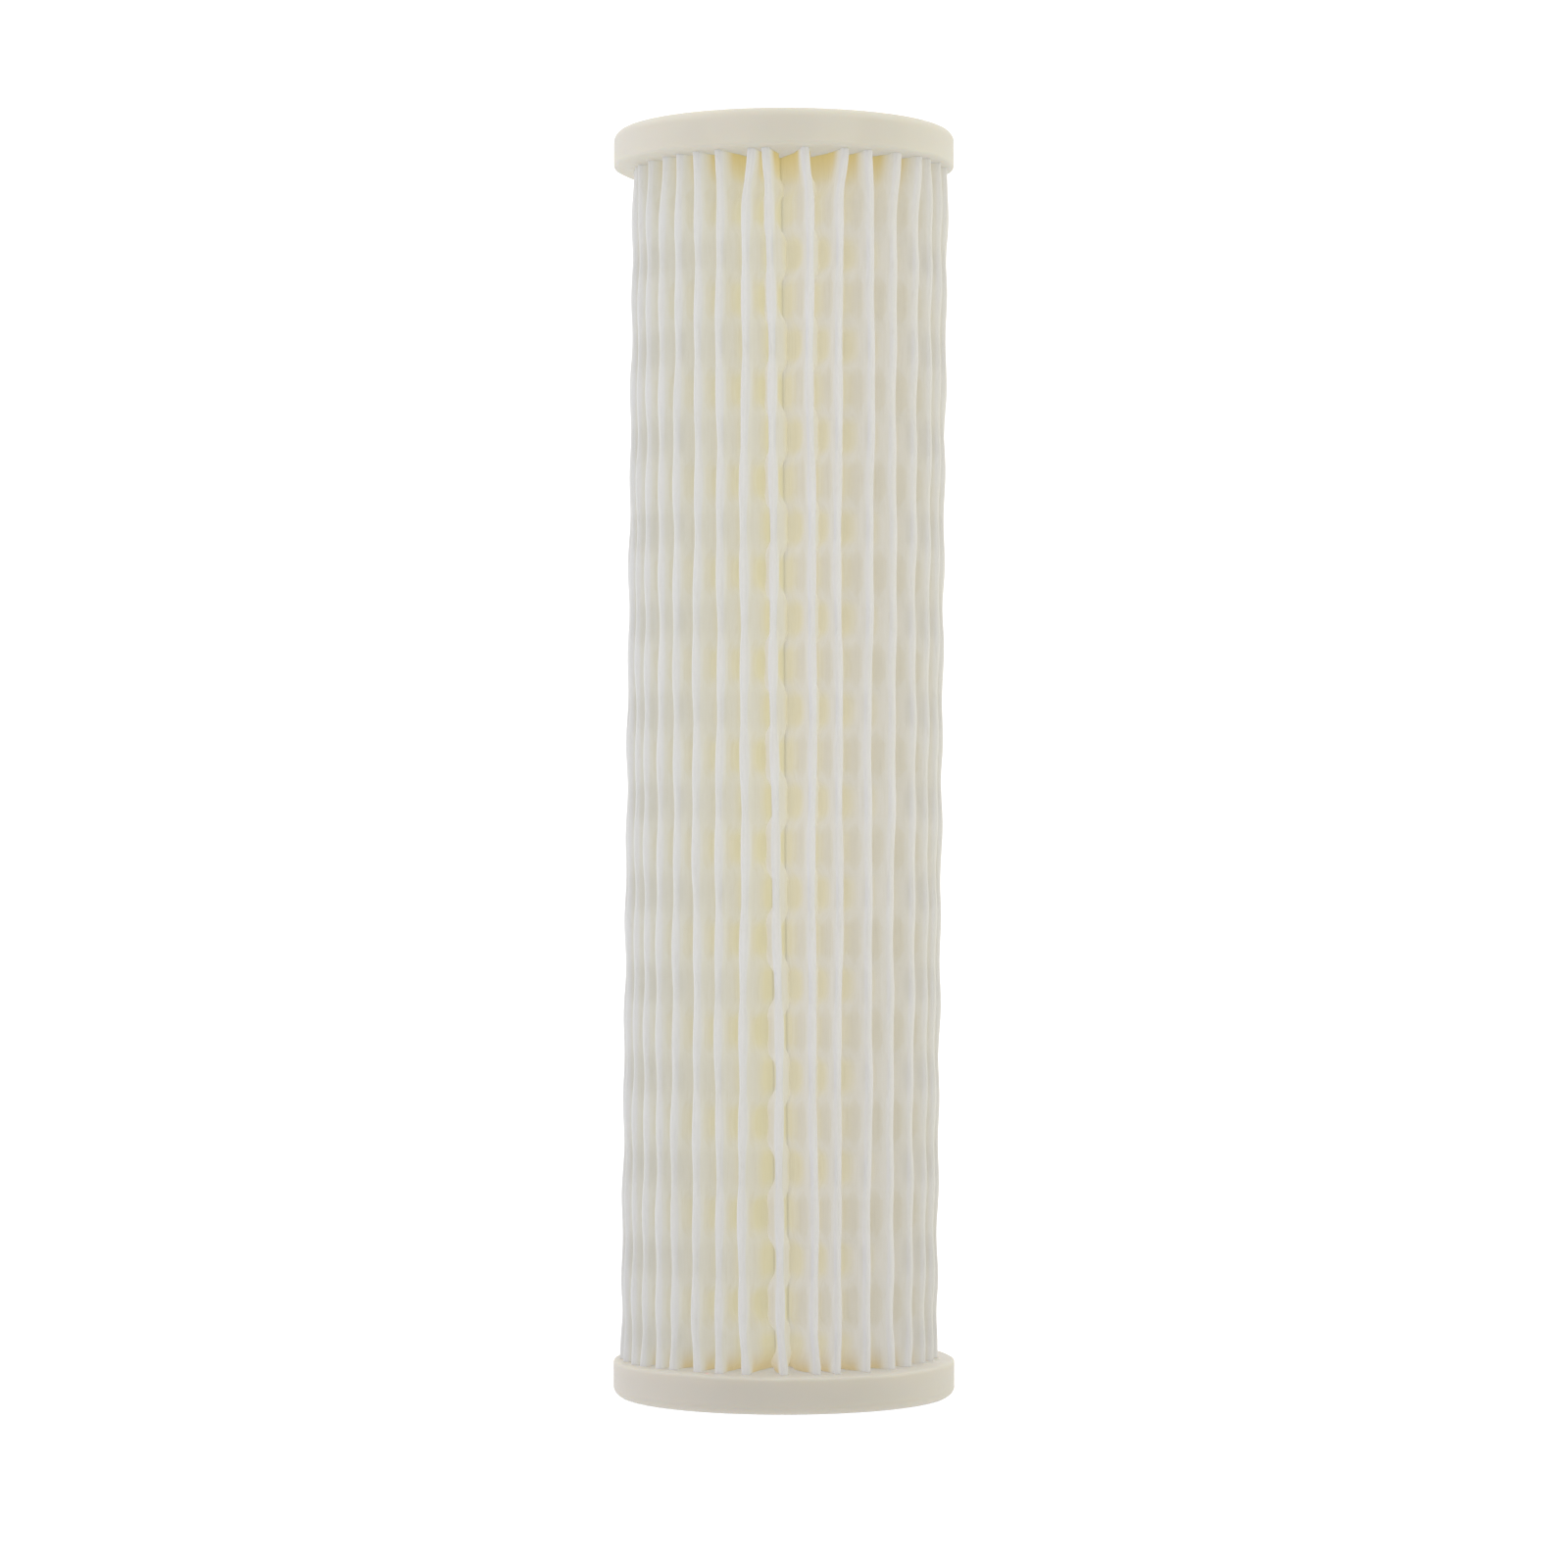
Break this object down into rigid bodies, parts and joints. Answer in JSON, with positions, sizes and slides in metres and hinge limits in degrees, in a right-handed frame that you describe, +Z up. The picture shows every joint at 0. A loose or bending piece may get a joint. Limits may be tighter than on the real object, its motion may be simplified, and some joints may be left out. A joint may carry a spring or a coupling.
{
  "type": "pleated water filter cartridge",
  "caption": "Round pleated sediment cartridge for an inline water filter housing, with soft cast end caps, a perforated core and an open bore through both ends.",
  "frame": {"origin": "centre of the lower end face, on the axis of the cartridge", "axes": "+Z up the axis from the lower end cap to the upper one; the side seam of the sheet is towards +Y, and -Y is the front"},
  "size_m": [0.067, 0.067, 0.248],
  "materials": {
    "vinyl_caps": "satin soft cast vinyl",
    "filter_sheet": "matt nonwoven polyester, embossed",
    "core_plastic": "natural polypropylene",
    "seam_weld": "translucent hot-melt"
  },
  "bodies": {
    "root": {"top_end_cap": "vinyl_caps", "bottom_end_cap": "vinyl_caps", "pleated_media": "filter_sheet", "side_seam": "seam_weld", "core_tube": "core_plastic"}
  },
  "joints": []
}
